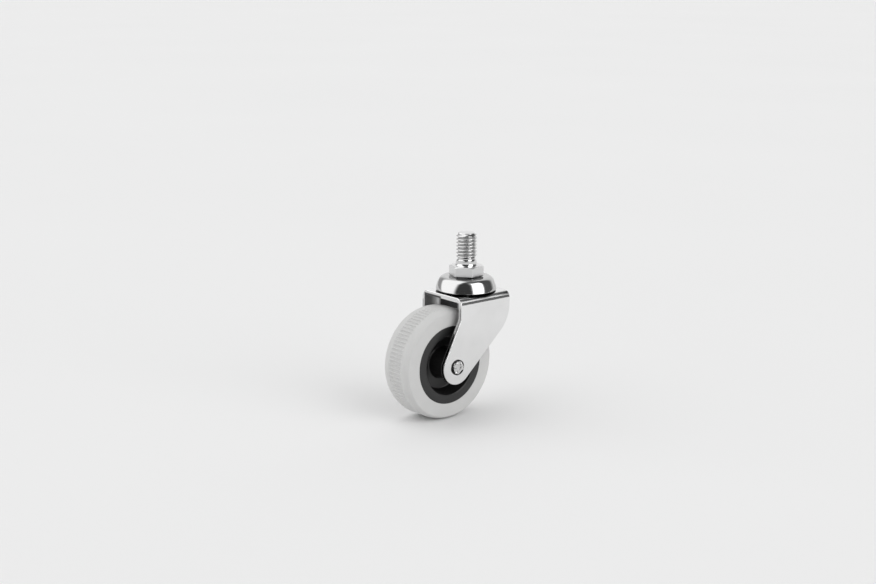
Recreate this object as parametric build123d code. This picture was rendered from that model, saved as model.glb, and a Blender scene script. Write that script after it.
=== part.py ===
from build123d import *
import math
import os

# Swivel castor with a threaded stem, a 2 in wheel and two rings of loose balls.
# Millimetres. +Z runs up the swivel axis, the origin is the centre of the hexagon's
# top face, +X points ahead and the wheel trails towards -X on an axle along Y.

# Threaded stem, hexagon and kingpin: one turned piece
THREAD_R = 4.7625             # 3/8 in, over the crests
THREAD_START_Z = 3.7
THREAD_END_Z = 15.0
THREAD_CHAMFER = 1.0
NECK_TOP_Z = 1.8              # plain neck of the thread's full diameter
RELIEF_R = 4.0                # at the bottom of the round groove under the thread
HEX_ACROSS_FLATS = 14.0
HEX_HEIGHT = 5.0
HEX_TURN_DEG = 9.4            # a corner's angle from +X
HEX_CHAMFER_DROP = 0.5
HEX_CHAMFER_INSET = 0.1       # chamfer circle inside the flats
SHANK_R = 3.6
RIVET_NECK_R = 3.2
RIVET_HEAD_R = 4.5
RIVET_HEAD_HEIGHT = 1.2
RIVET_EDGE_HEIGHT = 0.5
RIVET_EDGE_INSET = 0.9

# Upper race: a drawn cup clamped under the hexagon
CUP_SHEET = 2.0
CUP_TOP_Z = -HEX_HEIGHT
CUP_RIM_Z = -11.0
CUP_RIM_R = 13.95
CUP_SHOULDER_R = 3.0
CUP_SHOULDER_DEG = 28.0       # slope of the wall where the shoulder ends
CUP_RIM_DEG = 8.0             # and at the rim, from the vertical

# Loose balls
UPPER_BALLS = 11
UPPER_BALL_R = 2.38125        # 3/16 in
UPPER_PITCH_R = 8.6
LOWER_BALLS = 10
LOWER_BALL_R = 1.5875         # 1/8 in
LOWER_PITCH_R = 5.35
BALL_PLAY = 0.025             # between a ball and each race

# Fork: one pressed sheet
SHEET = 2.0
PLATE_TOP_Z = -11.7
FORK_WIDTH = 27.2             # over the legs
BEND_INNER_R = 1.5
PLATE_FRONT_X = 14.85
PLATE_BACK_X = -14.65
LEG_END_R = 8.0               # round end about the axle
LEG_BACK_DEG = 27.0           # back edge, from the vertical
LEG_FRONT_DEG = 42.3          # front edge, from the horizontal
KNEE_FILLET = 6.0
HEEL_FILLET = 16.0
SHEET_EDGE_BREAK = 0.25
GROOVE_R = 2.5
GROOVE_DEPTH = 0.11
CROWN_RISE = 1.4
CROWN_TOP_R = 5.69
CROWN_FLANK_WALL = 1.414
KINGPIN_HOLE_R = 4.6

# Lower race: a thick grooved washer under the fork plate
LOWER_RACE_TOP_Z = -15.25
LOWER_RACE_BOTTOM_Z = -17.05
LOWER_RACE_R = 7.2
LOWER_RACE_LIP_R = 6.4
LOWER_RACE_CORNER = 0.8

# Wheel and axle
WHEEL_R = 25.4                # 2 in wheel
TRAIL = 16.65                 # from the swivel axis back to the axle
AXLE_Z = -42.7
AXLE_R = 3.1
AXLE_HEAD_R = 5.5
AXLE_HEAD_HEIGHT = 2.2
PEEN_BASE_R = 3.7
PEEN_END_R = 3.2
PEEN_HEIGHT = 0.9
PEEN_WALL = 0.5               # upright part of the peened end's side
SLEEVE_R = 4.4
FIT_GAP = 0.05                # radial, in a running or assembly fit

# Moulded hub
HUB_RIM_R = 18.0
HUB_RIM_INNER_R = 13.85
HUB_FLOOR_R = 12.4            # foot of the drafted recess wall
HUB_HALF_WIDTH = 8.65
WEB_HALF = 2.0
BOSS_R = 6.5
BOSS_FOOT_R = 7.0
BOSS_HALF_LENGTH = 10.8
HUB_EDGE_BREAK = 0.35
HUB_FOOT_FILLET = 0.8
KEY_R = 20.0                  # ridge that locks the tread
KEY_HALF = 2.5

# Rubber tread
TREAD_HALF_WIDTH = 8.5
TREAD_EDGE_R = 24.1           # crisp corner where the shoulder meets the side
RIB_BAND_HALF = 3.75
LAND_HALF = 4.0
RIBS = 88
RIB_GROOVE_WIDTH = 1.05
RIB_GROOVE_FLOOR = 0.6
RIB_GROOVE_DEPTH = 0.45

AXLE_CENTRE = (-TRAIL, 0, AXLE_Z)
INNER_HALF = FORK_WIDTH / 2 - SHEET
OUTER_HALF = FORK_WIDTH / 2
SAME = 0.01                   # closer than this counts as coincident
PAST = 1.0                    # how far a cutting solid runs past the skin


def turned(points):
    """Solid of revolution about the swivel axis from (radius, z) corners."""
    section = Plane.XZ * make_face(Polyline(*points, close=True))
    return revolve(section, Axis.Z)


def turned_face(face):
    """Solid of revolution about the swivel axis from a face drawn as (radius, z)."""
    return revolve(Plane.XZ * face, Axis.Z)


def wheel_turned(face):
    """Solid of revolution about the axle from a face drawn as (radius, y)."""
    plane = Plane(origin=AXLE_CENTRE, x_dir=(1, 0, 0), z_dir=(0, 0, 1))
    return revolve(plane * face, Axis(AXLE_CENTRE, (0, 1, 0)))


def threaded_stem():
    """Stem, hexagon and riveted kingpin, turned from one bar."""
    neck_top = (THREAD_R, NECK_TOP_Z)
    thread_start = (THREAD_R, THREAD_START_Z)
    relief = ThreePointArc(neck_top, (RELIEF_R, (NECK_TOP_Z + THREAD_START_Z) / 2), thread_start)
    rest = Polyline(
        thread_start,
        (THREAD_R, THREAD_END_Z - THREAD_CHAMFER),
        (THREAD_R - THREAD_CHAMFER, THREAD_END_Z),
        (0, THREAD_END_Z),
        (0, -HEX_HEIGHT / 2),
        (THREAD_R, -HEX_HEIGHT / 2),
        neck_top,
    )
    stem = turned_face(make_face([relief, *rest.edges()]))
    corner_r = HEX_ACROSS_FLATS / math.sqrt(3)
    blank = Rot(0, 0, HEX_TURN_DEG) * RegularPolygon(corner_r, 6)
    hexagon = extrude(blank, -HEX_HEIGHT)
    chamfer_r = HEX_ACROSS_FLATS / 2 - HEX_CHAMFER_INSET
    hexagon &= turned([
        (0, 0),
        (chamfer_r, 0),
        (corner_r, -HEX_CHAMFER_DROP),
        (corner_r, HEX_CHAMFER_DROP - HEX_HEIGHT),
        (chamfer_r, -HEX_HEIGHT),
        (0, -HEX_HEIGHT),
    ])
    head_bottom = LOWER_RACE_BOTTOM_Z - RIVET_HEAD_HEIGHT
    kingpin = turned([
        (0, -HEX_HEIGHT / 2),
        (SHANK_R, -HEX_HEIGHT / 2),
        (SHANK_R, LOWER_RACE_TOP_Z),
        (RIVET_NECK_R, LOWER_RACE_TOP_Z),
        (RIVET_NECK_R, LOWER_RACE_BOTTOM_Z),
        (RIVET_HEAD_R, LOWER_RACE_BOTTOM_Z),
        (RIVET_HEAD_R, head_bottom + RIVET_EDGE_HEIGHT),
        (RIVET_HEAD_R - RIVET_EDGE_INSET, head_bottom),
        (0, head_bottom),
    ])
    return stem + hexagon + kingpin


def arc_point(centre, radius, angle):
    """Point of an arc about a centre, at an angle from the radial direction."""
    return centre[0] + radius * math.cos(angle), centre[1] + radius * math.sin(angle)


def cup_skin(inset):
    """The cup's bulging wall then its rounded shoulder, at a depth under the outer skin."""
    foot = math.radians(CUP_SHOULDER_DEG)
    rim = math.radians(CUP_RIM_DEG)
    foot_z = CUP_TOP_Z - CUP_SHOULDER_R * (1 - math.sin(foot))
    wall_r = (foot_z - CUP_RIM_Z) / (math.sin(foot) - math.sin(rim))
    wall_centre = (CUP_RIM_R - wall_r * math.cos(rim), CUP_RIM_Z - wall_r * math.sin(rim))
    shoulder_centre = arc_point(wall_centre, wall_r - CUP_SHOULDER_R, foot)
    wall_r -= inset
    shoulder_r = CUP_SHOULDER_R - inset
    low = math.asin((CUP_RIM_Z - wall_centre[1]) / wall_r)
    wall = [arc_point(wall_centre, wall_r, angle) for angle in (low, (low + foot) / 2, foot)]
    top = math.pi / 2
    shoulder = [arc_point(shoulder_centre, shoulder_r, angle) for angle in (foot, (foot + top) / 2, top)]
    return wall, shoulder


def race_cup():
    """Drawn cup that the upper balls run under."""
    hole_r = SHANK_R + FIT_GAP
    wall, shoulder = cup_skin(0)
    inner_wall, inner_shoulder = cup_skin(CUP_SHEET)
    inner_top = inner_shoulder[-1]
    top = shoulder[-1]
    outline = [
        ThreePointArc(*wall),
        ThreePointArc(*shoulder),
        Line(top, (hole_r, top[1])),
        Line((hole_r, top[1]), (hole_r, inner_top[1])),
        Line((hole_r, inner_top[1]), inner_top),
        ThreePointArc(*inner_shoulder),
        ThreePointArc(*inner_wall),
        Line(inner_wall[0], wall[0]),
    ]
    return turned_face(make_face(outline))


def upper_ball_centre_z():
    """Height at which an upper ball rests in the fork's groove."""
    return PLATE_TOP_Z - GROOVE_DEPTH + BALL_PLAY + UPPER_BALL_R


def lower_ball_centre_z():
    """Height at which a lower ball meets the 45 degree flank under the crown."""
    flank_sum = CROWN_TOP_R + PLATE_TOP_Z + CROWN_RISE - CROWN_FLANK_WALL * math.sqrt(2)
    return flank_sum - LOWER_PITCH_R - (LOWER_BALL_R + BALL_PLAY) * math.sqrt(2)


def ball_ring(prefix, count, ball_r, pitch_r, centre_z):
    """Evenly spaced loose balls, one node each."""
    balls = {}
    for index in range(count):
        place = Rot(0, 0, 360 * index / count) * Pos(pitch_r, 0, centre_z)
        balls[f"{prefix}_{index + 1:02d}"] = place * Sphere(ball_r)
    return balls


def leg_outline():
    """Side view of the fork: the plate's ends, the raked edges and the round end."""
    back = math.radians(LEG_BACK_DEG)
    front = math.radians(LEG_FRONT_DEG)
    back_tangent = (-TRAIL - LEG_END_R * math.cos(back), AXLE_Z + LEG_END_R * math.sin(back))
    front_tangent = (-TRAIL + LEG_END_R * math.sin(front), AXLE_Z - LEG_END_R * math.cos(front))
    knee_z = back_tangent[1] + (PLATE_BACK_X - back_tangent[0]) / math.tan(back)
    heel_z = front_tangent[1] + (PLATE_FRONT_X - front_tangent[0]) * math.tan(front)
    toe = (-TRAIL, AXLE_Z - LEG_END_R)
    outline = make_face([
        Line((PLATE_BACK_X, PLATE_TOP_Z), (PLATE_BACK_X, knee_z)),
        Line((PLATE_BACK_X, knee_z), back_tangent),
        ThreePointArc(back_tangent, toe, front_tangent),
        Line(front_tangent, (PLATE_FRONT_X, heel_z)),
        Line((PLATE_FRONT_X, heel_z), (PLATE_FRONT_X, PLATE_TOP_Z)),
        Line((PLATE_FRONT_X, PLATE_TOP_Z), (PLATE_BACK_X, PLATE_TOP_Z)),
    ])
    knee = outline.vertices().sort_by_distance((PLATE_BACK_X, knee_z))[0]
    outline = fillet(knee, KNEE_FILLET)
    heel = outline.vertices().sort_by_distance((PLATE_FRONT_X, heel_z))[0]
    return fillet(heel, HEEL_FILLET)


def folded_channel():
    """Long folded sheet, plate on top and a leg each side, before its outline is cut."""
    bend_outer_r = BEND_INNER_R + SHEET
    bottom_z = AXLE_Z - 2 * LEG_END_R
    height = PLATE_TOP_Z - bottom_z
    outer = Pos(0, bottom_z + height / 2) * Rectangle(FORK_WIDTH, height)
    outer = fillet(outer.vertices().group_by(Axis.Y)[-1], bend_outer_r)
    inner_height = height - SHEET
    inner = Pos(0, bottom_z + inner_height / 2) * Rectangle(2 * INNER_HALF, inner_height)
    inner = fillet(inner.vertices().group_by(Axis.Y)[-1], BEND_INNER_R)
    reach = 2 * (TRAIL + LEG_END_R)
    section = Plane.YZ * (outer - inner)
    return extrude(section, reach, both=True)


def outline_edges(body, half_width, top_z):
    """The cut edge of one skin of the sheet: round both legs, over the bends and across the plate."""
    return [
        edge
        for edge in body.edges()
        if not on_bend_line(edge) and on_skin(edge, half_width, top_z)
    ]


def on_bend_line(edge):
    """True for the straight lines where a bend meets a flat."""
    runs_fore_and_aft = abs(edge.tangent_at(0.5).X) > 1 - SAME
    return runs_fore_and_aft and edge.length > (PLATE_FRONT_X - PLATE_BACK_X) / 2


def on_skin(edge, half_width, top_z):
    """True for an edge that lies in a leg's face, the plate's face or the bend between them."""
    middle = edge.position_at(0.5)
    bend_r = BEND_INNER_R + SHEET if half_width == OUTER_HALF else BEND_INNER_R
    side = max(abs(middle.Y) - (half_width - bend_r), 0)
    rise = max(middle.Z - (top_z - bend_r), 0)
    return abs(math.hypot(side, rise) - bend_r) < SAME and (side > 0 or rise > 0)


def crown():
    """Raised ring round the kingpin hole, as pressed up from below."""
    plate_bottom = PLATE_TOP_Z - SHEET
    crown_top = PLATE_TOP_Z + CROWN_RISE
    raised = turned([
        (0, plate_bottom + SHEET / 2),
        (0, crown_top),
        (CROWN_TOP_R, crown_top),
        (CROWN_TOP_R + CROWN_RISE, PLATE_TOP_Z),
        (CROWN_TOP_R + CROWN_RISE, plate_bottom + SHEET / 2),
    ])
    flank_sum = CROWN_TOP_R + crown_top - CROWN_FLANK_WALL * math.sqrt(2)
    pocket_top = crown_top - SHEET
    pocket = turned([
        (0, plate_bottom - PAST),
        (0, pocket_top),
        (flank_sum - pocket_top, pocket_top),
        (flank_sum - plate_bottom + PAST, plate_bottom - PAST),
    ])
    return raised, pocket


def fork():
    """Pressed sheet fork: plate with both ball tracks, and two raked legs."""
    side = extrude(Plane.XZ * leg_outline(), FORK_WIDTH, both=True)
    body = folded_channel() & side
    body = fillet(outline_edges(body, OUTER_HALF, PLATE_TOP_Z), SHEET_EDGE_BREAK)
    raised, pocket = crown()
    groove_centre_z = PLATE_TOP_Z - GROOVE_DEPTH + GROOVE_R
    groove = turned_face(Pos(UPPER_PITCH_R, groove_centre_z) * Circle(GROOVE_R))
    plain_hole = Pos(0, 0, PLATE_TOP_Z) * Cylinder(KINGPIN_HOLE_R, 4 * SHEET)
    axle_hole = Pos(*AXLE_CENTRE) * Rot(90, 0, 0) * Cylinder(AXLE_R + FIT_GAP, 2 * FORK_WIDTH)
    return body + raised - pocket - groove - plain_hole - axle_hole


def lower_race():
    """Grooved washer that carries the lower balls on the kingpin."""
    hole_r = RIVET_NECK_R + FIT_GAP
    track_r = LOWER_BALL_R + BALL_PLAY
    ball_z = lower_ball_centre_z()
    start_r = LOWER_PITCH_R - math.sqrt(track_r ** 2 - (ball_z - LOWER_RACE_TOP_Z) ** 2)
    lip_z = ball_z - math.sqrt(track_r ** 2 - (LOWER_RACE_LIP_R - LOWER_PITCH_R) ** 2)
    track_start = (start_r, LOWER_RACE_TOP_Z)
    track_bottom = (LOWER_PITCH_R, ball_z - track_r)
    track_end = (LOWER_RACE_LIP_R, lip_z)
    rest = Polyline(
        track_end,
        (LOWER_RACE_R, lip_z),
        (LOWER_RACE_R, LOWER_RACE_BOTTOM_Z + LOWER_RACE_CORNER),
        (LOWER_RACE_R - LOWER_RACE_CORNER, LOWER_RACE_BOTTOM_Z),
        (hole_r, LOWER_RACE_BOTTOM_Z),
        (hole_r, LOWER_RACE_TOP_Z),
        track_start,
    )
    track = ThreePointArc(track_start, track_bottom, track_end)
    return turned_face(make_face([track, *rest.edges()]))


def axle():
    """Rivet axle: a button head on the far leg, a peened end on the near leg."""
    far = OUTER_HALF
    near = -OUTER_HALF
    dome_r = (AXLE_HEAD_R ** 2 + AXLE_HEAD_HEIGHT ** 2) / (2 * AXLE_HEAD_HEIGHT)
    dome_centre_y = far + AXLE_HEAD_HEIGHT - dome_r
    dome_top = (0, far + AXLE_HEAD_HEIGHT)
    dome_middle = (AXLE_HEAD_R / 2, dome_centre_y + math.sqrt(dome_r ** 2 - AXLE_HEAD_R ** 2 / 4))
    dome_edge = (AXLE_HEAD_R, far)
    rest = Polyline(
        dome_top,
        (0, near - PEEN_HEIGHT),
        (PEEN_END_R, near - PEEN_HEIGHT),
        (PEEN_BASE_R, near - PEEN_WALL),
        (PEEN_BASE_R, near),
        (AXLE_R, near),
        (AXLE_R, far),
        dome_edge,
    )
    dome = ThreePointArc(dome_edge, dome_middle, dome_top)
    return wheel_turned(make_face([dome, *rest.edges()]))


def axle_sleeve():
    """Tube on the axle that holds the legs apart and that the wheel turns on."""
    wall = SLEEVE_R - AXLE_R - FIT_GAP
    middle_r = SLEEVE_R - wall / 2
    return wheel_turned(Pos(middle_r, 0) * Rectangle(wall, 2 * INNER_HALF))


def wheel_hub():
    """Moulded hub: rim, thin web, long boss and the ridge that keys the tread."""
    half = [
        (SLEEVE_R + FIT_GAP, 0),
        (SLEEVE_R + FIT_GAP, BOSS_HALF_LENGTH),
        (BOSS_R, BOSS_HALF_LENGTH),
        (BOSS_FOOT_R, WEB_HALF),
        (HUB_FLOOR_R, WEB_HALF),
        (HUB_RIM_INNER_R, HUB_HALF_WIDTH),
        (HUB_RIM_R, HUB_HALF_WIDTH),
        (HUB_RIM_R, KEY_HALF),
        (KEY_R, KEY_HALF),
        (KEY_R, 0),
    ]
    mirrored = [(radius, -y) for radius, y in half[-2:0:-1]]
    section = make_face(Polyline(*half, *mirrored, close=True))
    for radius, y in ((BOSS_R, BOSS_HALF_LENGTH), (HUB_RIM_INNER_R, HUB_HALF_WIDTH)):
        corners = [section.vertices().sort_by_distance((radius, side * y))[0] for side in (-1, 1)]
        section = fillet(corners, HUB_EDGE_BREAK)
    for radius in (BOSS_FOOT_R, HUB_FLOOR_R):
        corners = [section.vertices().sort_by_distance((radius, side * WEB_HALF))[0] for side in (-1, 1)]
        section = fillet(corners, HUB_FOOT_FILLET)
    return wheel_turned(section)


def tread():
    """Rubber tyre: bowed shoulders with a crisp outer corner, and a band of fine ribs between them."""
    land_edge = (WHEEL_R, LAND_HALF)
    corner = (TREAD_EDGE_R, TREAD_HALF_WIDTH)
    drop = WHEEL_R - TREAD_EDGE_R
    reach = TREAD_HALF_WIDTH - LAND_HALF
    bow_r = (reach ** 2 + drop ** 2) / (2 * drop)
    middle = arc_point((WHEEL_R - bow_r, LAND_HALF), bow_r, math.asin(reach / bow_r) / 2)
    shoulder = ThreePointArc(land_edge, middle, corner)
    rest = Polyline(
        corner,
        (HUB_RIM_R, TREAD_HALF_WIDTH),
        (HUB_RIM_R, KEY_HALF),
        (KEY_R, KEY_HALF),
        (KEY_R, 0),
        (WHEEL_R, 0),
        land_edge,
    )
    half = make_face([shoulder, *rest.edges()])
    blank = wheel_turned(half + mirror(half, Plane.XZ))
    groove = Polygon(
        (WHEEL_R - RIB_GROOVE_DEPTH, -RIB_GROOVE_FLOOR / 2),
        (WHEEL_R - RIB_GROOVE_DEPTH, RIB_GROOVE_FLOOR / 2),
        (WHEEL_R + RIB_GROOVE_DEPTH, RIB_GROOVE_WIDTH - RIB_GROOVE_FLOOR / 2),
        (WHEEL_R + RIB_GROOVE_DEPTH, RIB_GROOVE_FLOOR / 2 - RIB_GROOVE_WIDTH),
        align=None,
    )
    groove = extrude(groove, RIB_BAND_HALF, both=True)
    grooves = PolarLocations(0, RIBS) * groove
    return blank - Pos(*AXLE_CENTRE) * Rot(90, 0, 0) * Compound(children=grooves)


parts = {
    "threaded_stem": threaded_stem(),
    "race_cup": race_cup(),
    **ball_ring("upper_ball", UPPER_BALLS, UPPER_BALL_R, UPPER_PITCH_R, upper_ball_centre_z()),
    "fork": fork(),
    **ball_ring("lower_ball", LOWER_BALLS, LOWER_BALL_R, LOWER_PITCH_R, lower_ball_centre_z()),
    "lower_race": lower_race(),
    "axle": axle(),
    "axle_sleeve": axle_sleeve(),
    "wheel_hub": wheel_hub(),
    "tread": tread(),
}

os.makedirs("parts", exist_ok=True)
for name, part in parts.items():
    export_step(part, f"parts/{name}.step")
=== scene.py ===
import math

import bmesh
import bpy
import numpy as np
from mathutils import Matrix, Vector, noise as lumps


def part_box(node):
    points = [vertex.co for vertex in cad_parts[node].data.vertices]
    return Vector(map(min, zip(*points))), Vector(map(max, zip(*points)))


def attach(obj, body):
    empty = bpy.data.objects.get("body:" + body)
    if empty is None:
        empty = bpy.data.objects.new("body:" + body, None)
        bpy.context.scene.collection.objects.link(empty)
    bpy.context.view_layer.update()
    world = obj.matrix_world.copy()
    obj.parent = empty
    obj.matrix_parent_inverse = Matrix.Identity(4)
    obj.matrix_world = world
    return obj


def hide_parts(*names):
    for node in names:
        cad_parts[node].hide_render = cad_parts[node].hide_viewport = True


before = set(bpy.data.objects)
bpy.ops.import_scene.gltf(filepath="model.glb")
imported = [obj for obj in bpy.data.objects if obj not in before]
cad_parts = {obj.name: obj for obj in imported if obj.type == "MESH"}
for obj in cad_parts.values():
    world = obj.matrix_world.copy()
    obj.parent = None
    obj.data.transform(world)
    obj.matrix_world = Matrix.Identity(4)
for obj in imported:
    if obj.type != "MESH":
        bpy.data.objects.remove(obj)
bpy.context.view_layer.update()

MM = 0.001
POLE_RADIUS = 1e-9

# ---------------------------------------------------------------- places read from the frame
WHEEL_LOW, WHEEL_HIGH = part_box("tread")
WHEEL_CENTRE = (WHEEL_LOW + WHEEL_HIGH) / 2
WHEEL_R = (WHEEL_HIGH.x - WHEEL_LOW.x) / 2 / MM
FLOOR_Z = WHEEL_LOW.z
STEM_TOP_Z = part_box("threaded_stem")[1].z / MM
KINGPIN_END_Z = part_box("threaded_stem")[0].z / MM
LOWER_RACE_TOP_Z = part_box("lower_race")[1].z / MM
LOWER_RACE_END_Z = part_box("lower_race")[0].z / MM
LEG_OUTER_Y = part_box("fork")[1].y / MM


# ---------------------------------------------------------------- mesh helpers, all in millimetres
def rounded(corners, steps=5):
    """A line through (a, b, radius) corners, each turned by an arc of its radius."""
    line = []
    for index, (a, b, radius) in enumerate(corners):
        here = Vector((a, b))
        if radius == 0 or index in (0, len(corners) - 1):
            line.append((a, b))
            continue
        back = (Vector(corners[index - 1][:2]) - here).normalized()
        ahead = (Vector(corners[index + 1][:2]) - here).normalized()
        half = back.angle(ahead) / 2
        centre = here + (back + ahead).normalized() * radius / math.sin(half)
        start = here + back * radius / math.tan(half) - centre
        end = here + ahead * radius / math.tan(half) - centre
        turn = start.angle_signed(end)
        for step in range(steps + 1):
            spoke = start.copy()
            spoke.rotate(Matrix.Rotation(-turn * step / steps, 2))
            line.append(tuple(centre + spoke))
    return line


def ring_mesh(name, rows, closed=False, sharp_deg=35.0, place=Matrix.Identity(4)):
    """A mesh from rows of points round an axis; a row whose radius is zero becomes one pole vertex.

    rows has the shape (rows, segments, 3). closed joins the last row to the first, as in a tube.
    """
    vertices, first, is_pole = [], [], []
    count, segments = rows.shape[:2]
    for row in rows:
        first.append(len(vertices))
        is_pole.append(np.hypot(row[:, 0], row[:, 1]).max() < POLE_RADIUS)
        vertices.extend(row[:1] if is_pole[-1] else row)

    def corner(row, segment):
        return first[row] + (0 if is_pole[row] else segment)

    faces = []
    for here in range(count if closed else count - 1):
        above = (here + 1) % count
        for seg in range(segments):
            after = (seg + 1) % segments
            corners = [corner(here, seg), corner(here, after), corner(above, after), corner(above, seg)]
            faces.append(list(dict.fromkeys(corners)))
    mesh = bpy.data.meshes.new(name)
    mesh.from_pydata([tuple(v * MM) for v in np.asarray(vertices)], [], faces)
    mesh.transform(place)
    mesh.validate()
    mesh.shade_smooth()
    mesh.set_sharp_from_angle(angle=math.radians(sharp_deg))
    piece = bpy.data.objects.new(name, mesh)
    bpy.context.scene.collection.objects.link(piece)
    outward(piece)
    return piece


def outward(piece):
    """Turns every face of a closed mesh outward."""
    work = bmesh.new()
    work.from_mesh(piece.data)
    bmesh.ops.recalc_face_normals(work, faces=work.faces)
    work.to_mesh(piece.data)
    work.free()


def lathe(name, line, segments=128, closed=False, sharp_deg=35.0, place=Matrix.Identity(4)):
    """A turned piece from a (radius, height) line."""
    angle = np.linspace(0, 2 * math.pi, segments, endpoint=False)
    line = np.asarray(line, float)
    rows = np.stack(
        [
            line[:, :1] * np.cos(angle),
            line[:, :1] * np.sin(angle),
            np.repeat(line[:, 1:], segments, axis=1),
        ],
        axis=2,
    )
    return ring_mesh(name, rows, closed, sharp_deg, place)


# local Z becomes the axle's +Y, and the origin the wheel's centre
AXLE_PLACE = Matrix.Translation(WHEEL_CENTRE) @ Matrix.Rotation(-math.pi / 2, 4, "X")


def dress(piece, body, slot, material, *nodes):
    """Puts a finish on a new piece, seats it on its body and lets it stand for CAD nodes."""
    piece.data.materials.clear()
    piece.data.materials.append(material)
    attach(piece, body)
    if nodes:
        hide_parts(*nodes)
    return piece


# ---------------------------------------------------------------- materials
NOISE_MIDDLE = (0.3, 0.7)


def new_material(name, **sockets):
    """A Principled material with constant values set on its own sockets."""
    material = bpy.data.materials.new(name)
    material.use_nodes = True
    tree = material.node_tree
    shader = tree.nodes["Principled BSDF"]
    for socket, value in sockets.items():
        shader.inputs[socket.replace("_", " ")].default_value = value
    return material, tree, shader


def add_node(tree, kind, **values):
    """A node with its inputs or properties set by name."""
    node = tree.nodes.new(kind)
    for name, value in values.items():
        if name in node.inputs:
            node.inputs[name].default_value = value
        else:
            setattr(node, name, value)
    return node


def noise(tree, vector, scale, detail=2.0, roughness=0.5):
    """Noise at a scale in waves per metre."""
    node = add_node(tree, "ShaderNodeTexNoise", Scale=scale, Detail=detail, Roughness=roughness)
    tree.links.new(vector, node.inputs["Vector"])
    return node.outputs["Fac"]


def set_input(tree, socket, value):
    """Gives a socket a number, or a link from another node."""
    if isinstance(value, (int, float)):
        socket.default_value = value
    else:
        tree.links.new(value, socket)


def remap(tree, value, limits, out_low, out_high):
    """A linear, clamped change of range."""
    node = add_node(tree, "ShaderNodeMapRange")
    for index, number in enumerate((value, *limits, out_low, out_high)):
        set_input(tree, node.inputs[index], number)
    return node.outputs[0]


def spread(tree, fac, low, high):
    """The middle of a noise, where nearly all of it lies, spread over a range of values."""
    return remap(tree, fac, NOISE_MIDDLE, low, high)


def fade_in(tree, value, limits, top=1.0):
    return remap(tree, value, limits, 0.0, top)


def fade_out(tree, value, limits, top=1.0):
    return remap(tree, value, limits, top, 0.0)


def calculate(tree, operation, *values):
    """One Math node, with its inputs in order."""
    node = add_node(tree, "ShaderNodeMath", operation=operation)
    for index, value in enumerate(values):
        set_input(tree, node.inputs[index], value)
    return node.outputs[0]


def combine(tree, operation, first, *others):
    """The same Math operation over any number of values."""
    for other in others:
        first = calculate(tree, operation, first, other)
    return first


def blend_values(tree, factor, first, second):
    """first where the factor is 0 and second where it is 1."""
    node = add_node(tree, "ShaderNodeMix", data_type="FLOAT")
    for socket, value in (("Factor", factor), ("A", first), ("B", second)):
        set_input(tree, node.inputs[socket], value)
    return node.outputs["Result"]


def bump(tree, shader, height, distance):
    """A bump whose height of 1 stands distance metres proud."""
    node = add_node(tree, "ShaderNodeBump", Strength=1.0, Distance=distance)
    tree.links.new(height, node.inputs["Height"])
    tree.links.new(node.outputs["Normal"], shader.inputs["Normal"])


def tint(tree, shader, value, low_colour, high_colour):
    """Base colour that runs between two colours as value runs 0 to 1."""
    node = add_node(tree, "ShaderNodeMix", data_type="RGBA")
    for socket, colour in (("A", low_colour), ("B", high_colour)):
        node.inputs[socket].default_value = (*colour, 1)
    tree.links.new(value, node.inputs["Factor"])
    tree.links.new(node.outputs["Result"], shader.inputs["Base Color"])


def grey(level):
    return (level, level, level)


def object_coordinates(tree):
    """The shared frame at rest, in metres, which stays with a piece as its body moves."""
    return tree.nodes.new("ShaderNodeTexCoord").outputs["Object"]


def stretched(tree, vector, scale):
    """Coordinates scaled along each axis, for grain that runs one way."""
    node = add_node(tree, "ShaderNodeMapping")
    node.inputs["Scale"].default_value = scale
    tree.links.new(vector, node.inputs["Vector"])
    return node.outputs["Vector"]


def band(tree, value, limits, width):
    """1 between two limits, with soft edges."""
    low, high = limits
    above = fade_in(tree, value, (low - width / 2, low + width / 2))
    below = fade_out(tree, value, (high - width / 2, high + width / 2))
    return calculate(tree, "MULTIPLY", above, below)


def component(tree, vector, axis):
    split = add_node(tree, "ShaderNodeSeparateXYZ")
    tree.links.new(vector, split.inputs[0])
    return split.outputs[axis]


def magnitude(tree, vector, axis):
    return calculate(tree, "ABSOLUTE", component(tree, vector, axis))


def distance_from(tree, centre, across):
    """Distance from an axis through a centre; across is 1 on the two directions square to it."""
    vector = object_coordinates(tree)
    for operation, value in (("SUBTRACT", centre), ("MULTIPLY", across)):
        node = add_node(tree, "ShaderNodeVectorMath", operation=operation)
        node.inputs[1].default_value = value
        tree.links.new(vector, node.inputs[0])
        vector = node.outputs[0]
    length = add_node(tree, "ShaderNodeVectorMath", operation="LENGTH")
    tree.links.new(vector, length.inputs[0])
    return length.outputs["Value"]


def swivel_distance(tree):
    return distance_from(tree, (0, 0, 0), (1, 1, 0))


def axle_distance(tree):
    return distance_from(tree, WHEEL_CENTRE, (1, 0, 1))


# Where the finishes change, in metres in the object's frame at rest. Heights count from the hexagon's top face.
THREAD_FLANK_R = (0.0039, 0.0046)
HEXAGON_R = (0.0048, 0.0052)
DRAWN_R = (0.0052, 0.0056)
STEM_END_Z = (0.0144, 0.0146)
HEX_FLATS_Z = (-0.0044, -0.0006)
DIE_MARK_Z = (-0.0136, -0.0130)
LEG_CUT_TOP_Z = (-0.0156, -0.0152)
CUT_LINE_Y = (0.0128, 0.01325)
CUT_LINE_TOP_Z = (-0.0165, -0.0155)
LEG_INSIDE_Y = (0.0117, 0.0120)
LEG_INSIDE_TOP_Z = (-0.0140, -0.0134)
LEG_INSIDE_X = (-0.0110, -0.0070)
UNDER_CUP_SHADE_R = (0.0126, 0.0134)
BEND_Z = (-0.0134, -0.0112)
BEND_Y = (0.0116, 0.0122)
BEND_X = (0.0080, 0.0135)
FAR_LEG_Y = (0.0, 0.001)
FAR_CUT_Y = (0.0120, 0.0123)
FAR_CUT_TOP_Z = (-0.0130, -0.0126)
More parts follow.
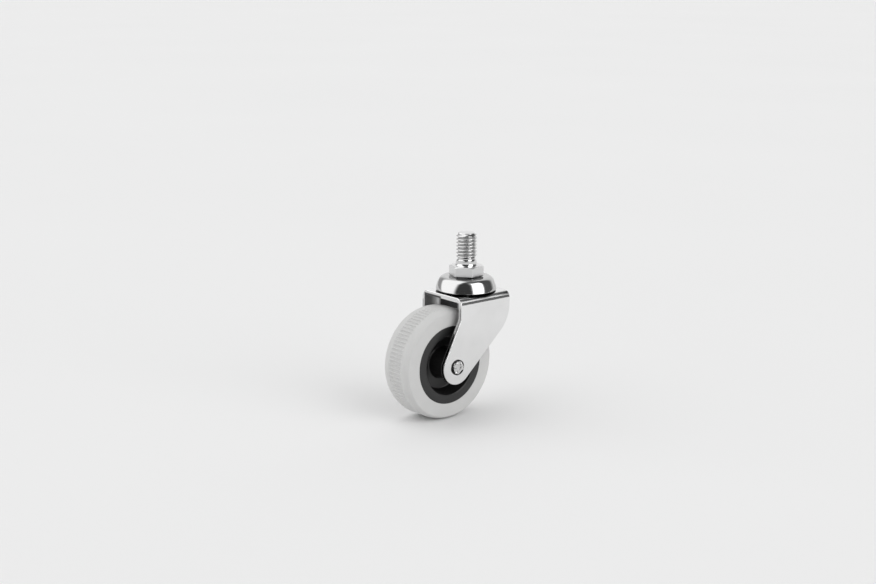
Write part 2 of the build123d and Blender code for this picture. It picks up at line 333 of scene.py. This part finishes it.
LEG_FOOT_Z = (-0.047, -0.022)
NEAR_HALF_Y = (-0.001, 0.001)
PEEN_RING_R = (0.0028, 0.0046)
BOSS_SURFACE_R = (0.0069, 0.0072)
RECESS_WALL_R = (0.0122, 0.0138)


# Several tones below were set until the picture matched from the photograph's angle: the fork's bend, leg insides,
# dark cut-edge line and far cut edge, the thread roots, the axle's ring and the hub's recess. In the photograph they
# may be reflections or shadow. The bend and leg insides are painted dark reflection; the far cut edge, thread roots,
# axle ring and recess are painted shade.
def turned_steel():
    """Bright steel with painted shade in the thread roots and a duller, drawn surface on the hexagon."""
    material, tree, shader = new_material("turned_steel", Metallic=1.0)
    place = object_coordinates(tree)
    radius = swivel_distance(tree)
    height = component(tree, place, "Z")
    turned = add_node(tree, "ShaderNodeCombineXYZ")
    tree.links.new(radius, turned.inputs["X"])
    tree.links.new(height, turned.inputs["Y"])

    # painted shade: the thread roots are darker than the crests, the stem's end and the hexagon
    lightness_with_painted_shade = combine(
        tree,
        "MAXIMUM",
        fade_in(tree, radius, THREAD_FLANK_R, 0.8),
        fade_in(tree, height, STEM_END_Z),
        fade_in(tree, radius, HEXAGON_R),
    )
    tint(tree, shader, lightness_with_painted_shade, grey(0.46), grey(0.72))

    marks = noise(tree, turned.outputs[0], 6000, detail=3)
    drawn = noise(tree, stretched(tree, place, (1.0, 1.0, 0.06)), 5200, detail=2)
    blotch = noise(tree, place, 350, detail=3)
    hexagon = calculate(tree, "MULTIPLY", fade_in(tree, radius, DRAWN_R), band(tree, height, HEX_FLATS_Z, 0.0003))
    dullness_and_painted_shade = calculate(tree, "MULTIPLY", hexagon, 0.24)
    rough = calculate(tree, "ADD", spread(tree, blotch, 0.07, 0.12), dullness_and_painted_shade)
    tree.links.new(rough, shader.inputs["Roughness"])
    relief = blend_values(tree, hexagon, calculate(tree, "MULTIPLY", marks, 0.13), drawn)
    bump(tree, shader, relief, 0.00003)
    return material


def hazy_metal(name, level, scale, detail, low_rough, high_rough):
    """Plain polished metal whose gloss varies a little."""
    material, tree, shader = new_material(name, Metallic=1.0, Base_Color=(*grey(level), 1))
    haze = noise(tree, object_coordinates(tree), scale, detail=detail)
    tree.links.new(spread(tree, haze, low_rough, high_rough), shader.inputs["Roughness"])
    return material


def fork_cut_edges(tree, place, height):
    """Where the fork's sheared edges are: all of them, and those at its two ends alone."""
    facing = tree.nodes.new("ShaderNodeTexCoord").outputs["Normal"]
    end_cut = fade_in(tree, magnitude(tree, facing, "X"), (0.5, 0.6))
    leg_cut = fade_out(tree, magnitude(tree, facing, "Y"), (0.4, 0.5))
    leg_cut = calculate(tree, "MULTIPLY", leg_cut, fade_out(tree, height, LEG_CUT_TOP_Z))
    return calculate(tree, "MAXIMUM", end_cut, leg_cut), end_cut


def fork_darkness(tree, place, height, side, leg_inside):
    """Painted shade under the cup and on the far leg's cut edge, painted dark reflection on the legs' insides and
    toward the front of each bend, a dark line in the legs' cut edges, and slightly darker sheared edges.
    """
    across = component(tree, place, "Y")
    ahead = component(tree, place, "X")
    cut, end_cut = fork_cut_edges(tree, place, height)
    # a dark line along the legs' lower cut edges
    cut_edge_line = combine(tree, "MULTIPLY", band(tree, side, CUT_LINE_Y, 0.0001), fade_out(tree, height, CUT_LINE_TOP_Z), 0.85)
    # painted dark reflection toward the front end of each bend
    bend = combine(
        tree,
        "MULTIPLY",
        band(tree, height, BEND_Z, 0.0002),
        fade_in(tree, side, BEND_Y),
        fade_in(tree, ahead, BEND_X, 0.8),
    )
    # painted shade on the far leg's cut edge
    far_edge_painted_shade = combine(
        tree,
        "MULTIPLY",
        fade_out(tree, across, FAR_CUT_Y),
        fade_in(tree, across, FAR_LEG_Y, 0.95),
        end_cut,
        fade_out(tree, height, FAR_CUT_TOP_Z),
    )
    # painted shade on the plate in a ring under the cup's rim
    under_cup_painted_shade = fade_out(tree, swivel_distance(tree), UNDER_CUP_SHADE_R)
    # painted dark reflection on the legs' insides, strongest toward the rear
    inner = calculate(tree, "MULTIPLY", leg_inside, remap(tree, ahead, LEG_INSIDE_X, 0.70, 0.08))
    return combine(tree, "MAXIMUM", cut_edge_line, under_cup_painted_shade, bend, far_edge_painted_shade, inner, calculate(tree, "MULTIPLY", cut, 0.12))


def zinc_sheet():
    """Plated sheet with a matt die mark along each bend and painted dark reflection toward the legs' feet."""
    material, tree, shader = new_material("zinc_sheet", Metallic=1.0)
    place = object_coordinates(tree)
    grain = noise(tree, stretched(tree, place, (0.25, 1.0, 1.0)), 9000, detail=3)
    cloud = noise(tree, place, 120, detail=4)
    height = component(tree, place, "Z")
    side = magnitude(tree, place, "Y")
    leg_inside = fade_out(tree, height, LEG_INSIDE_TOP_Z)
    leg_inside = calculate(tree, "MULTIPLY", fade_out(tree, side, LEG_INSIDE_Y), leg_inside)
    dark = fork_darkness(tree, place, height, side, leg_inside)

    # painted dark reflection: the sheet is darker toward the legs' feet
    lightness_with_painted_shade = calculate(tree, "MULTIPLY", spread(tree, cloud, 0.81, 0.86), remap(tree, height, LEG_FOOT_Z, 0.90, 1.0))
    level = blend_values(tree, dark, lightness_with_painted_shade, 0.06)
    colour = add_node(tree, "ShaderNodeCombineColor")
    for channel in ("Red", "Green", "Blue"):
        tree.links.new(level, colour.inputs[channel])
    tree.links.new(colour.outputs[0], shader.inputs["Base Color"])

    rough = combine(
        tree,
        "ADD",
        spread(tree, cloud, 0.09, 0.14),
        calculate(tree, "MULTIPLY", band(tree, height, DIE_MARK_Z, 0.0002), 0.35),
        calculate(tree, "MULTIPLY", leg_inside, 0.28),
        calculate(tree, "MULTIPLY", dark, 0.2),
    )
    tree.links.new(rough, shader.inputs["Roughness"])
    bump(tree, shader, grain, 0.000003)
    return material


def hammered_steel():
    """Rivet steel: a battered bright middle with dark pits, and painted shade in a rough ring round the upset near
    end.
    """
    material, tree, shader = new_material("hammered_steel", Metallic=1.0)
    place = object_coordinates(tree)
    dents = noise(tree, place, 620, detail=3)
    uneven = calculate(tree, "ADD", axle_distance(tree), spread(tree, dents, -0.0006, 0.0006))
    # painted shade in a ring round the peened end
    ring = band(tree, uneven, PEEN_RING_R, 0.0003)
    pits = fade_out(tree, dents, (0.34, 0.42), 0.8)
    hammered = fade_out(tree, component(tree, place, "Y"), NEAR_HALF_Y)
    dark = calculate(tree, "MULTIPLY", calculate(tree, "MAXIMUM", ring, pits), hammered)
    tint(tree, shader, dark, grey(0.62), grey(0.02))
    tree.links.new(remap(tree, dark, (0.0, 1.0), 0.16, 0.45), shader.inputs["Roughness"])
    bump(tree, shader, calculate(tree, "MULTIPLY", dents, hammered), 0.0002)
    return material


def race_grease_and_shade():
    """Greasy dark smear inside the cup, with painted shade there and under its rim."""
    material, tree, shader = new_material("race_grease_and_shade")
    smear = noise(tree, object_coordinates(tree), 500, detail=4)
    tint(tree, shader, smear, grey(0.012), grey(0.03))
    tree.links.new(spread(tree, smear, 0.35, 0.55), shader.inputs["Roughness"])
    bump(tree, shader, smear, 0.00005)
    return material


def black_plastic():
    """Moulded plastic with painted shade on the boss and on the wall of its recess, where its specular level is
    lowered.
    """
    material, tree, shader = new_material("black_plastic")
    skin = noise(tree, object_coordinates(tree), 1400, detail=3)
    tint(tree, shader, skin, grey(0.010), grey(0.016))
    tree.links.new(spread(tree, skin, 0.30, 0.38), shader.inputs["Roughness"])
    distance = axle_distance(tree)
    wall = band(tree, distance, RECESS_WALL_R, 0.0001)
    # painted shade: the specular level drops on the boss and on the recess wall
    dullness_and_painted_shade = calculate(tree, "MAXIMUM", fade_out(tree, distance, BOSS_SURFACE_R), wall)
    tree.links.new(remap(tree, dullness_and_painted_shade, (0.0, 1.0), 0.5, 0.15), shader.inputs["Specular IOR Level"])
    bump(tree, shader, skin, 0.000012)
    return material


def grey_rubber():
    """Pale matt rubber with a trace of warmth."""
    material, tree, shader = new_material("grey_rubber")
    fine = noise(tree, object_coordinates(tree), 3500, detail=4, roughness=0.6)
    broad = noise(tree, object_coordinates(tree), 160, detail=3)
    tint(tree, shader, broad, (0.56, 0.56, 0.555), (0.61, 0.61, 0.605))
    tree.links.new(spread(tree, fine, 0.62, 0.78), shader.inputs["Roughness"])
    bump(tree, shader, fine, 0.00002)
    return material


TURNED_STEEL = turned_steel()
PLATED_RACE = hazy_metal("plated_race", 0.53, 400, 4, 0.08, 0.13)
ZINC_SHEET = zinc_sheet()
# the balls' steel is set dark, for grease and painted shade in the gap under the cup
BALL_STEEL = hazy_metal("ball_steel", 0.30, 900, 2, 0.08, 0.14)
RACE_GREASE_AND_SHADE = race_grease_and_shade()
HAMMERED_STEEL = hammered_steel()
BLACK_PLASTIC = black_plastic()
GREY_RUBBER = grey_rubber()


# ---------------------------------------------------------------- threaded stem with hexagon and kingpin
THREAD_R = 4.7625
THREAD_PITCH = 1.5875
THREAD_DEPTH = 0.93
THREAD_START_Z = 4.1
RELIEF_R = 4.0
NECK_TOP_Z = 2.1
NECK_FOOT_R = 0.5
NECK_FOOT_HEIGHT = 1.3
HEX_HALF_FLATS = 7.0
HEX_HEIGHT = 5.0
HEX_TURN_DEG = 9.4
HEX_FACE_R = 6.9
SHANK_R = 3.6
RIVET_NECK_R = 3.2
RIVET_HEAD_R = 4.5
STEM_SEGMENTS = 192
STEM_END_R = 3.55
STEM_CHAMFER_R = 3.7
THREAD_PHASE_Z = 4.2
THREAD_RUN_OUT = 0.4
THREAD_STEP = 0.06
CREST_HALF = 0.04
ROOT_HALF = 0.05
HEX_CORNER_CUT = 0.08
HEX_CHAMFER_SLOPE = 0.42
HEX_FACE_EDGE = 0.05


def thread_dip(phase):
    """Depth of a 60 degree thread, 0 on the crest and 1 at the root, at a phase in turns."""
    away = np.abs((phase + 0.5) % 1.0 - 0.5)
    rise = np.clip((away - CREST_HALF) / (0.5 - CREST_HALF - ROOT_HALF), 0, 1)
    rounded_rise = rise * rise * (3 - 2 * rise)
    return 1 - (rise + 2 * rounded_rise) / 3


def relief_radius(z):
    """Round groove between the thread and the neck."""
    middle = (NECK_TOP_Z + THREAD_START_Z) / 2
    half = THREAD_START_Z - middle
    depth = THREAD_R - RELIEF_R
    arc_r = (half ** 2 + depth ** 2) / (2 * depth)
    away = min(abs(z - middle), half)
    return RELIEF_R + arc_r - math.sqrt(arc_r ** 2 - away ** 2)


def stem_piece():
    """One closed mesh: cut thread, relief, neck, chamfered hexagon, kingpin shank and rivet head."""
    angle = np.linspace(0, 2 * math.pi, STEM_SEGMENTS, endpoint=False)
    around = angle / (2 * math.pi)
    rows = []

    def row(radius, z):
        radius = np.broadcast_to(radius, angle.shape)
        z = np.broadcast_to(z, angle.shape)
        rows.append(np.stack([radius * np.cos(angle), radius * np.sin(angle), z], axis=1))

    row(0.0, STEM_TOP_Z)
    row(STEM_END_R, STEM_TOP_Z)
    for z in np.arange(STEM_TOP_Z - 0.02, NECK_TOP_Z, -THREAD_STEP):
        limit = min(STEM_CHAMFER_R + (STEM_TOP_Z - z), relief_radius(z))
        thread = THREAD_R - THREAD_DEPTH * thread_dip((z - THREAD_PHASE_Z) / THREAD_PITCH - around)
        row(np.minimum(thread if z > THREAD_START_Z - THREAD_RUN_OUT else THREAD_R, limit), z)
    row(THREAD_R, NECK_TOP_Z - 0.03)
    for turn in np.linspace(0, math.pi / 2, 6):
        row(THREAD_R + NECK_FOOT_R * (1 - math.cos(turn)), NECK_FOOT_HEIGHT * (1 - math.sin(turn)))
    half = math.radians(30)
    to_flat = (angle - math.radians(HEX_TURN_DEG) + half) % (2 * half) - half
    hex_r = HEX_HALF_FLATS / np.cos(np.abs(to_flat) - half)
    hex_r = np.minimum(hex_r, HEX_HALF_FLATS / math.cos(half) - HEX_CORNER_CUT)
    drop = (hex_r - HEX_FACE_R) * HEX_CHAMFER_SLOPE
    top = [(HEX_FACE_R - HEX_FACE_EDGE, 0.0), (HEX_FACE_R, -0.01), (hex_r - 0.04, 0.015 - drop), (hex_r, -0.03 - drop)]
    for radius, z in top:
        row(radius, z)
    for radius, z in reversed(top):
        row(radius, -HEX_HEIGHT - z)
    for radius, height in rounded([
        (SHANK_R, -HEX_HEIGHT, 0),
        (SHANK_R, LOWER_RACE_TOP_Z, 0),
        (RIVET_NECK_R, LOWER_RACE_TOP_Z, 0),
        (RIVET_NECK_R, LOWER_RACE_END_Z, 0),
        (RIVET_HEAD_R, LOWER_RACE_END_Z, 0),
        (RIVET_HEAD_R, KINGPIN_END_Z + 0.5, 0.3),
        (RIVET_HEAD_R - 0.9, KINGPIN_END_Z, 0.3),
        (0, KINGPIN_END_Z, 0),
    ]):
        row(radius, height)
    return ring_mesh("stem_turned", np.array(rows), sharp_deg=30)


# ---------------------------------------------------------------- race cup
CUP_SHEET = 2.0
CUP_TOP_Z = -HEX_HEIGHT
CUP_RIM_Z = -11.0
CUP_RIM_R = 13.95
CUP_SHOULDER_R = 3.0
CUP_SHOULDER_ANGLE = math.radians(28)
CUP_RIM_ANGLE = math.radians(8)
CUP_RIM_OUTER_BLEND = 0.25
CUP_RIM_INNER_BLEND = 0.2
BORE_PLAY = 0.05


def arc_points(centre, radius, start, end, steps):
    """Points on an arc between two angles, in radians."""
    return [
        (centre[0] + radius * math.cos(angle), centre[1] + radius * math.sin(angle))
        for angle in np.linspace(start, end, steps)
    ]


def cup_skin(inset):
    """Bulging wall and rounded shoulder, from the rim up, at a depth under the outer skin."""
    foot, rim = CUP_SHOULDER_ANGLE, CUP_RIM_ANGLE
    foot_z = CUP_TOP_Z - CUP_SHOULDER_R * (1 - math.sin(foot))
    wall_r = (foot_z - CUP_RIM_Z) / (math.sin(foot) - math.sin(rim))
    wall_centre = (CUP_RIM_R - wall_r * math.cos(rim), CUP_RIM_Z - wall_r * math.sin(rim))
    shoulder_centre = arc_points(wall_centre, wall_r - CUP_SHOULDER_R, foot, foot, 1)[0]
    low = math.asin((CUP_RIM_Z + CUP_RIM_OUTER_BLEND - wall_centre[1]) / (wall_r - inset))
    wall = arc_points(wall_centre, wall_r - inset, low, foot, 14)
    return wall + arc_points(shoulder_centre, CUP_SHOULDER_R - inset, foot, math.pi / 2, 18)[1:]


def cup_piece():
    """Drawn cup: a sheet of even thickness with a rolled rim."""
    outer = cup_skin(0)
    inner = cup_skin(CUP_SHEET)
    rim = rounded([
        (*outer[0], 0),
        (outer[0][0], CUP_RIM_Z, CUP_RIM_OUTER_BLEND),
        (inner[0][0], CUP_RIM_Z, CUP_RIM_INNER_BLEND),
        (*inner[0], 0),
    ])
    bore = SHANK_R + BORE_PLAY
    line = [(bore, CUP_TOP_Z - CUP_SHEET), (bore, CUP_TOP_Z), *outer[::-1], *rim[1:-1], *inner]
    return lathe("cup_drawn", line, segments=256, closed=True, sharp_deg=50)


# ---------------------------------------------------------------- wheel
HUB_RIM_R = 18.0
HUB_RIM_INNER_R = 13.85
HUB_FLOOR_R = 12.4
HUB_HALF_WIDTH = 8.65
WEB_HALF = 2.0
BOSS_R = 6.5
BOSS_FOOT_R = 7.0
BOSS_HALF_LENGTH = 10.8
SLEEVE_R = 4.4
KEY_R = 20.0
KEY_HALF = 2.5


def hub_piece():
    """Rim, web and boss in one moulding, with a ridge that keys into the tread."""
    half = [
        (KEY_R, KEY_HALF, 0),
        (HUB_RIM_R, KEY_HALF, 0),
        (HUB_RIM_R, HUB_HALF_WIDTH, 0.3),
        (HUB_RIM_INNER_R, HUB_HALF_WIDTH, 0.4),
        (HUB_FLOOR_R, WEB_HALF, 0.8),
        (BOSS_FOOT_R, WEB_HALF, 0.8),
        (BOSS_R, BOSS_HALF_LENGTH, 0.35),
        (SLEEVE_R + BORE_PLAY, BOSS_HALF_LENGTH, 0.2),
    ]
    mirrored = [(radius, -y, blend) for radius, y, blend in reversed(half)]
    line = rounded(half + mirrored, steps=5)
    return lathe("hub_moulded", line, segments=160, closed=True, place=AXLE_PLACE)


TREAD_HALF_WIDTH = 8.5
TREAD_EDGE_R = 24.1
RIB_BAND_HALF = 4.3
LAND_HALF = 4.5
RIBS = 88
RIB_DEPTH = 0.5
POINTS_PER_RIB = 10
GROOVE_HALF = 0.36
GROOVE_WALL = 0.12
# How far in from the end of a groove, and what share of its depth it has there
RIB_RUN_OUT = ((0.0, 0.0), (0.3, 0.16), (0.6, 0.5), (0.9, 0.84), (1.2, 1.0))


def tread_piece():
    """Tyre with rounded shoulders and a band of straight ribs, cut as real grooves."""
    segments = RIBS * POINTS_PER_RIB
    angle = np.linspace(0, 2 * math.pi, segments, endpoint=False)
    phase = (np.arange(segments) % POINTS_PER_RIB) / POINTS_PER_RIB
    away = np.minimum(phase, 1 - phase)
    groove = np.clip((GROOVE_HALF - away) / GROOVE_WALL, 0, 1)
    groove = groove * groove * (3 - 2 * groove)
    rows = []

    def row(radius, y, cut=0.0):
        cut_radius = radius - RIB_DEPTH * cut * groove
        sides = np.full(segments, y)
        rows.append(np.stack([cut_radius * np.cos(angle), cut_radius * np.sin(angle), sides], axis=1))

    across = TREAD_HALF_WIDTH - LAND_HALF
    drop = WHEEL_R - TREAD_EDGE_R
    bow_r = (across ** 2 + drop ** 2) / (2 * drop)
    shoulder = []
    for turn in np.linspace(0, math.asin((across - 0.2) / bow_r), 12):
        shoulder.append((WHEEL_R - bow_r * (1 - math.cos(turn)), LAND_HALF + bow_r * math.sin(turn)))
    corner = [(TREAD_EDGE_R - 0.22, TREAD_HALF_WIDTH), (TREAD_EDGE_R - 0.06, TREAD_HALF_WIDTH - 0.05)]
    far = [(HUB_RIM_R, TREAD_HALF_WIDTH)] + corner + shoulder[::-1]
    far = [(KEY_R, KEY_HALF), (HUB_RIM_R, KEY_HALF)] + far
    for radius, y in far:
        row(radius, y)
    ends = [(RIB_BAND_HALF - inward, cut) for inward, cut in RIB_RUN_OUT]
    for y, cut in ends + [(-y, cut) for y, cut in reversed(ends)]:
        row(WHEEL_R, y, cut)
    for radius, y in reversed(far):
        row(radius, -y)
    return ring_mesh("tyre_ribbed", np.array(rows), closed=True, sharp_deg=40, place=AXLE_PLACE)


# ---------------------------------------------------------------- axle
AXLE_R = 3.1
PEEN_BASE_R = 3.55
PEEN_END_R = 3.1
PEEN_WALL = 0.5
PEEN_HEIGHT = 0.9
PEEN_DENT = 0.35
PEEN_BLOWS_PER_MM = 0.55
PEEN_BLEND = 0.15
# Which part of the noise makes the dents, and how far out they begin
BLOW_PLACE = Vector((3, 0, 5))
BLOW_START = 0.1
BUTTON_R = 5.5
BUTTON_HEIGHT = 2.2
BUTTON_STEPS = 10


def axle_piece():
    """Rivet with a hammered near end and a button head on the far leg."""
    near = -LEG_OUTER_Y
    dome_r = (BUTTON_R ** 2 + BUTTON_HEIGHT ** 2) / (2 * BUTTON_HEIGHT)
    dome = []
    for step in range(BUTTON_STEPS + 1):
        radius = BUTTON_R * step / BUTTON_STEPS
        dome.append((radius, LEG_OUTER_Y + BUTTON_HEIGHT - dome_r + math.sqrt(dome_r ** 2 - radius ** 2)))
    near_end = rounded([
        (BUTTON_R, LEG_OUTER_Y, 0),
        (AXLE_R, LEG_OUTER_Y, 0),
        (AXLE_R, near, 0),
        (PEEN_BASE_R, near, 0),
        (PEEN_BASE_R, near - PEEN_WALL, PEEN_BLEND),
        (PEEN_END_R, near - PEEN_HEIGHT, PEEN_BLEND),
        (PEEN_END_R - 0.4, near - PEEN_HEIGHT, 0),
    ], steps=4)
    face = [(radius, near - PEEN_HEIGHT) for radius in np.linspace(PEEN_END_R - 0.6, 0, 9)]
    rivet = lathe("axle_rivet", dome + near_end + face, segments=72, place=AXLE_PLACE)
    for vertex in rivet.data.vertices:
        proud = -vertex.co.y / MM - LEG_OUTER_Y
        if proud < BLOW_START:
            continue
        blow = lumps.noise((vertex.co - WHEEL_CENTRE) / MM * PEEN_BLOWS_PER_MM + BLOW_PLACE)
        vertex.co.y += PEEN_DENT * max(0.0, 0.5 + blow) * min(1.0, proud / PEEN_HEIGHT) * MM
    return rivet


# ---------------------------------------------------------------- dress every piece
dress(stem_piece(), "stem_body", "bright_steel", TURNED_STEEL, "threaded_stem")
cup = dress(cup_piece(), "stem_body", "plated_race", PLATED_RACE, "race_cup")
# greasy dark finish and painted shade on the second slot: the wall's inside, and every face that looks down
cup.data.materials.append(RACE_GREASE_AND_SHADE)
for face in cup.data.polygons:
    inward = face.center.xy.dot(face.normal.xy) < 0 and face.center.xy.length > 0.005
    face.material_index = int(inward or face.normal.z < -0.4)
dress(hub_piece(), "wheel_body", "black_plastic", BLACK_PLASTIC, "wheel_hub")
dress(tread_piece(), "wheel_body", "grey_rubber", GREY_RUBBER, "tread")
dress(axle_piece(), "fork_body", "bright_steel", HAMMERED_STEEL, "axle")

# the CAD solids that are shown as they are, with a finish
CAD_FINISHES = {
    "fork": ZINC_SHEET,
    "lower_race": PLATED_RACE,
    "axle_sleeve": TURNED_STEEL,
}
for node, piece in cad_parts.items():
    finish = BALL_STEEL if "_ball_" in node else CAD_FINISHES.get(node)
    if finish is None:
        continue
    piece.data.materials.clear()
    piece.data.materials.append(finish)
    piece.data.shade_smooth()
    piece.data.set_sharp_from_angle(angle=math.radians(30))


# ---------------------------------------------------------------- floor, light and camera
FLOOR_HALF = 6.0


def floor_material():
    material, tree, shader = new_material("studio_floor", Roughness=0.9)
    patch = noise(tree, object_coordinates(tree), 3, detail=2)
    tint(tree, shader, patch, (0.81, 0.81, 0.81), (0.83, 0.83, 0.83))
    return material


def studio_floor():
    corners = [(x * FLOOR_HALF, y * FLOOR_HALF, 0) for x, y in ((-1, -1), (1, -1), (1, 1), (-1, 1))]
    mesh = bpy.data.meshes.new("studio_floor")
    mesh.from_pydata(corners, [], [(0, 1, 2, 3)])
    floor = bpy.data.objects.new("studio_floor", mesh)
    bpy.context.scene.collection.objects.link(floor)
    floor.location.z = FLOOR_Z
    mesh.materials.append(floor_material())


# The studio round the object, by direction: degrees right of the photographer, degrees up, and radiance.
# Each panel lies over those before it. A lean is degrees of turn per degree up, and an edge is a soft width.
PHOTOGRAPHER = Vector((-0.6508, -0.7593, 0))
STUDIO_BASE = 0.92
STUDIO_PANELS = (
    # left, its lean, right, its lean, edge; low, high, edge; radiance
    (-160, 0.0, -100, -0.3, 20, -20, 34, 20, 0.44),  # dim far side
    (-108, -0.85, -5, 0.0, 16, -8, 84, 12, 1.70),  # left soft box
    (-20, 0.9, 122, 0.5, 26, -8, 74, 12, 0.12),  # dark room
    (-40, 0.0, 172, 0.0, 16, 62, 110, 16, 0.22),  # dim ceiling
    (25, 0.0, 70, 0.2, 12, -8, 57, 14, 3.2),  # right soft box
)

# Matt surfaces get the panels' light evened out by this share, as in a tent, and metal reflects them as painted.
EVENNESS = 0.5
PLAIN_LEVEL = 1.0
# What the camera sees behind the floor
BACKDROP_LEVEL = 0.85

# The photographer is a dark upright oval between the two soft boxes.
FIGURE_MIDDLE = 10.5
FIGURE_LEAN = 0.05
FIGURE_HALF = 36.0
FIGURE_TOP = 76.0
FIGURE_LEVEL = 0.06
FIGURE_SOFTNESS = 0.9


def soft_step(tree, value, edge, width):
    """0 below the edge and 1 above it."""
    node = add_node(tree, "ShaderNodeMapRange", interpolation_type="SMOOTHSTEP")
    node.inputs[1].default_value = edge - width / 2
    node.inputs[2].default_value = edge + width / 2
    tree.links.new(value, node.inputs[0])
    return node.outputs[0]


def between(tree, from_low, from_high, width):
    """1 where the first value is above 0 and the second below 0, with soft edges."""
    above = soft_step(tree, from_low, 0.0, width)
    below = calculate(tree, "SUBTRACT", 1.0, soft_step(tree, from_high, 0.0, width))
    return calculate(tree, "MULTIPLY", above, below)


def world_light():
    """Two soft boxes, dark and dim surfaces and the photographer's dark figure, in a pale room."""
    world = bpy.data.worlds.new("studio_world")
    bpy.context.scene.world = world
    world.use_nodes = True
    tree = world.node_tree
    direction = add_node(tree, "ShaderNodeVectorMath", operation="NORMALIZE")
    tree.links.new(tree.nodes.new("ShaderNodeTexCoord").outputs["Generated"], direction.inputs[0])
    direction = direction.outputs[0]

    def along(axis):
        node = add_node(tree, "ShaderNodeVectorMath", operation="DOT_PRODUCT")
        node.inputs[1].default_value = axis
        tree.links.new(direction, node.inputs[0])
        return node.outputs["Value"]

    side = Vector((0, 0, 1)).cross(PHOTOGRAPHER)
    degrees = 180 / math.pi
    turn = calculate(tree, "MULTIPLY", calculate(tree, "ARCTAN2", along(side), along(PHOTOGRAPHER)), degrees)
    rise = calculate(tree, "MULTIPLY", calculate(tree, "ARCSINE", along((0, 0, 1))), degrees)

    def past(value, start, lean=0.0):
        if lean:
            value = calculate(tree, "SUBTRACT", value, calculate(tree, "MULTIPLY", rise, lean))
        return calculate(tree, "SUBTRACT", value, start)

    level = STUDIO_BASE
    for left, left_lean, right, right_lean, edge, low, high, rise_edge, radiance in STUDIO_PANELS:
        across = between(tree, past(turn, left, left_lean), past(turn, right, right_lean), edge)
        upward = between(tree, past(rise, low), past(rise, high), rise_edge)
        level = blend_values(tree, calculate(tree, "MULTIPLY", across, upward), level, radiance)

    leaning = calculate(tree, "MULTIPLY", rise, FIGURE_LEAN)
    figure_middle = calculate(tree, "SUBTRACT", leaning, FIGURE_MIDDLE)
    away = calculate(tree, "DIVIDE", calculate(tree, "SUBTRACT", turn, figure_middle), FIGURE_HALF)
    up = calculate(tree, "DIVIDE", rise, FIGURE_TOP)
    reach = calculate(tree, "ADD", calculate(tree, "MULTIPLY", away, away), calculate(tree, "MULTIPLY", up, up))
    inside = calculate(tree, "SUBTRACT", 1.0, soft_step(tree, reach, 1.0, FIGURE_SOFTNESS))
    inside = calculate(tree, "MULTIPLY", inside, soft_step(tree, rise, -3.0, 3.0))
    level = blend_values(tree, inside, level, FIGURE_LEVEL)

    ray = tree.nodes.new("ShaderNodeLightPath").outputs
    matt = calculate(tree, "SUBTRACT", 1.0, ray["Is Glossy Ray"])
    level = blend_values(tree, calculate(tree, "MULTIPLY", matt, EVENNESS), level, PLAIN_LEVEL)
    level = blend_values(tree, ray["Is Camera Ray"], level, BACKDROP_LEVEL)
    background = tree.nodes["Background"]
    background.inputs["Color"].default_value = (1, 1, 1, 1)
    tree.links.new(level, background.inputs["Strength"])


# The photograph's camera, solved from the outlines of the wheel, fork and stem
EYE = Vector((-450.87, -506.15, 145.64)) * MM
BACK = Vector((-0.6338, -0.7392, 0.2278)).normalized()
ROLL = math.radians(0.42)
LENS = 62.4


def camera():
    data = bpy.data.cameras.new("camera")
    data.lens = LENS
    data.sensor_width = 36.0
    data.clip_end = 50.0
    eye = bpy.data.objects.new("camera", data)
    bpy.context.scene.collection.objects.link(eye)
    right = Vector((0, 0, 1)).cross(BACK).normalized()
    up = BACK.cross(right)
    turned_right = right * math.cos(ROLL) + up * math.sin(ROLL)
    turned_up = BACK.cross(turned_right)
    axes = Matrix((turned_right, turned_up, BACK)).transposed().to_4x4()
    eye.matrix_world = Matrix.Translation(EYE) @ axes
    bpy.context.scene.camera = eye


studio_floor()
world_light()
camera()
bpy.context.scene.view_settings.view_transform = "Standard"
